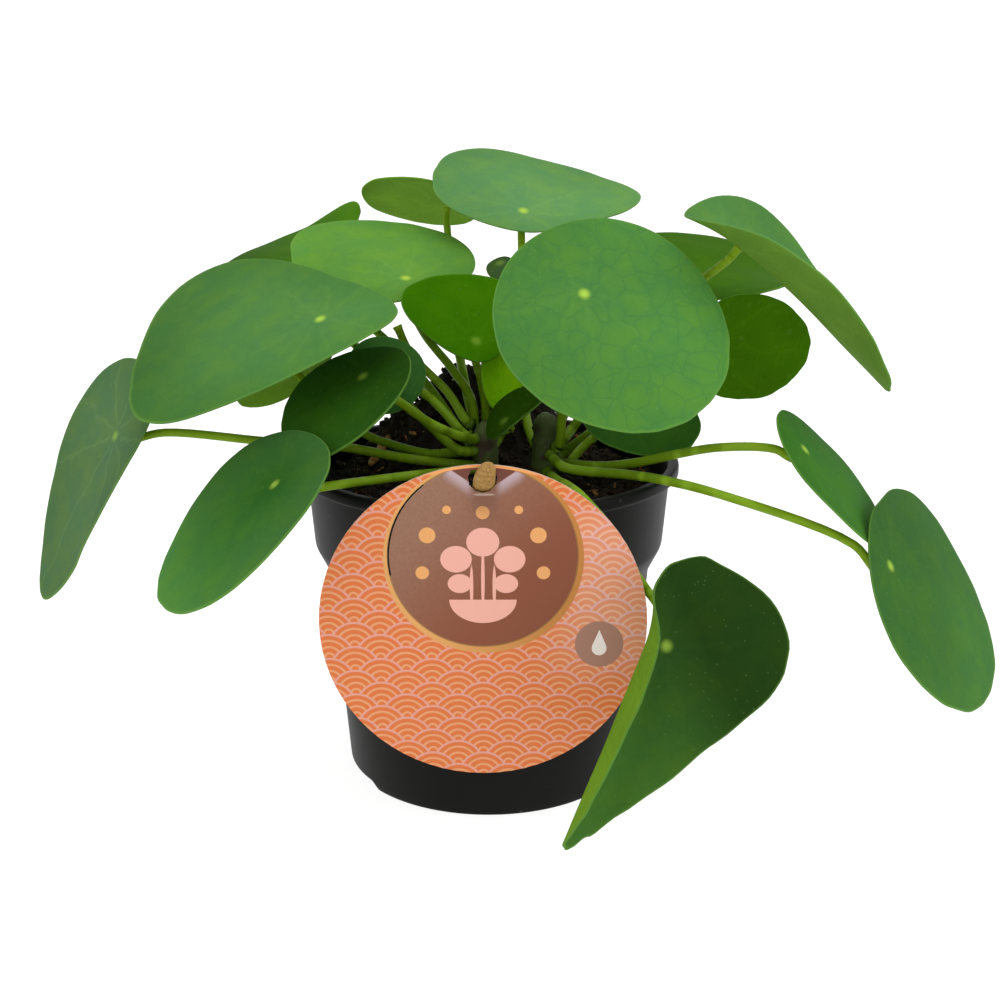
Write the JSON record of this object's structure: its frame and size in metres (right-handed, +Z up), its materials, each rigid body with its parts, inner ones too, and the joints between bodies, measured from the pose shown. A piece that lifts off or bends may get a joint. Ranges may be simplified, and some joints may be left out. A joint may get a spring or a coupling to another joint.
{
  "type": "potted chinese money plant",
  "caption": "Round-leaved houseplant standing in a round black nursery pot of soil, with a round printed card label hung on a wooden stick at the front.",
  "frame": {"origin": "on the pot's axis, in the plane the pot stands on", "axes": "+Z up along the pot's axis, -Y towards the hanging label, +X to the right as seen from the label's side"},
  "size_m": [0.3066, 0.2136, 0.1932],
  "materials": {
    "pot": "matt black moulded plastic",
    "soil": "moist dark potting soil",
    "stem": "brown-green, ringed with leaf scars",
    "leaf_blade": "fleshy green with a soft sheen",
    "leaf_stalk": "smooth yellow-green",
    "card": "printed card with a light sheen",
    "stick": "bare pale wood",
    "bark": "rough dry bark"
  },
  "bodies": {
    "root": {"pot": "pot", "stem_1": "stem", "stem_2": "stem", "label_stick": "stick", "soil": "soil", "label_card": "card", "leaf_01_blade": "leaf_blade", "leaf_01_stalk": "leaf_stalk", "leaf_02_blade": "leaf_blade", "leaf_02_stalk": "leaf_stalk", "leaf_03_blade": "leaf_blade", "leaf_03_stalk": "leaf_stalk", "leaf_04_blade": "leaf_blade", "leaf_04_stalk": "leaf_stalk", "leaf_05_blade": "leaf_blade", "leaf_05_stalk": "leaf_stalk", "leaf_06_blade": "leaf_blade", "leaf_06_stalk": "leaf_stalk", "leaf_07_blade": "leaf_blade", "leaf_07_stalk": "leaf_stalk", "leaf_08_blade": "leaf_blade", "leaf_08_stalk": "leaf_stalk", "leaf_09_blade": "leaf_blade", "leaf_09_stalk": "leaf_stalk", "leaf_10_blade": "leaf_blade", "leaf_10_stalk": "leaf_stalk", "leaf_11_blade": "leaf_blade", "leaf_11_stalk": "leaf_stalk", "leaf_12_blade": "leaf_blade", "leaf_12_stalk": "leaf_stalk", "leaf_13_blade": "leaf_blade", "leaf_13_stalk": "leaf_stalk", "leaf_14_blade": "leaf_blade", "leaf_14_stalk": "leaf_stalk", "leaf_15_blade": "leaf_blade", "leaf_15_stalk": "leaf_stalk", "leaf_16_blade": "leaf_blade", "leaf_16_stalk": "leaf_stalk", "leaf_17_blade": "leaf_blade", "leaf_17_stalk": "leaf_stalk", "leaf_18_blade": "leaf_blade", "leaf_18_stalk": "leaf_stalk", "leaf_19_blade": "leaf_blade", "leaf_19_stalk": "leaf_stalk", "leaf_20_blade": "leaf_blade", "leaf_20_stalk": "leaf_stalk", "leaf_21_blade": "leaf_blade", "leaf_21_stalk": "leaf_stalk", "leaf_22_blade": "leaf_blade", "leaf_22_stalk": "leaf_stalk", "cut_stalk": "leaf_stalk", "bark_chip": "bark"}
  },
  "joints": []
}
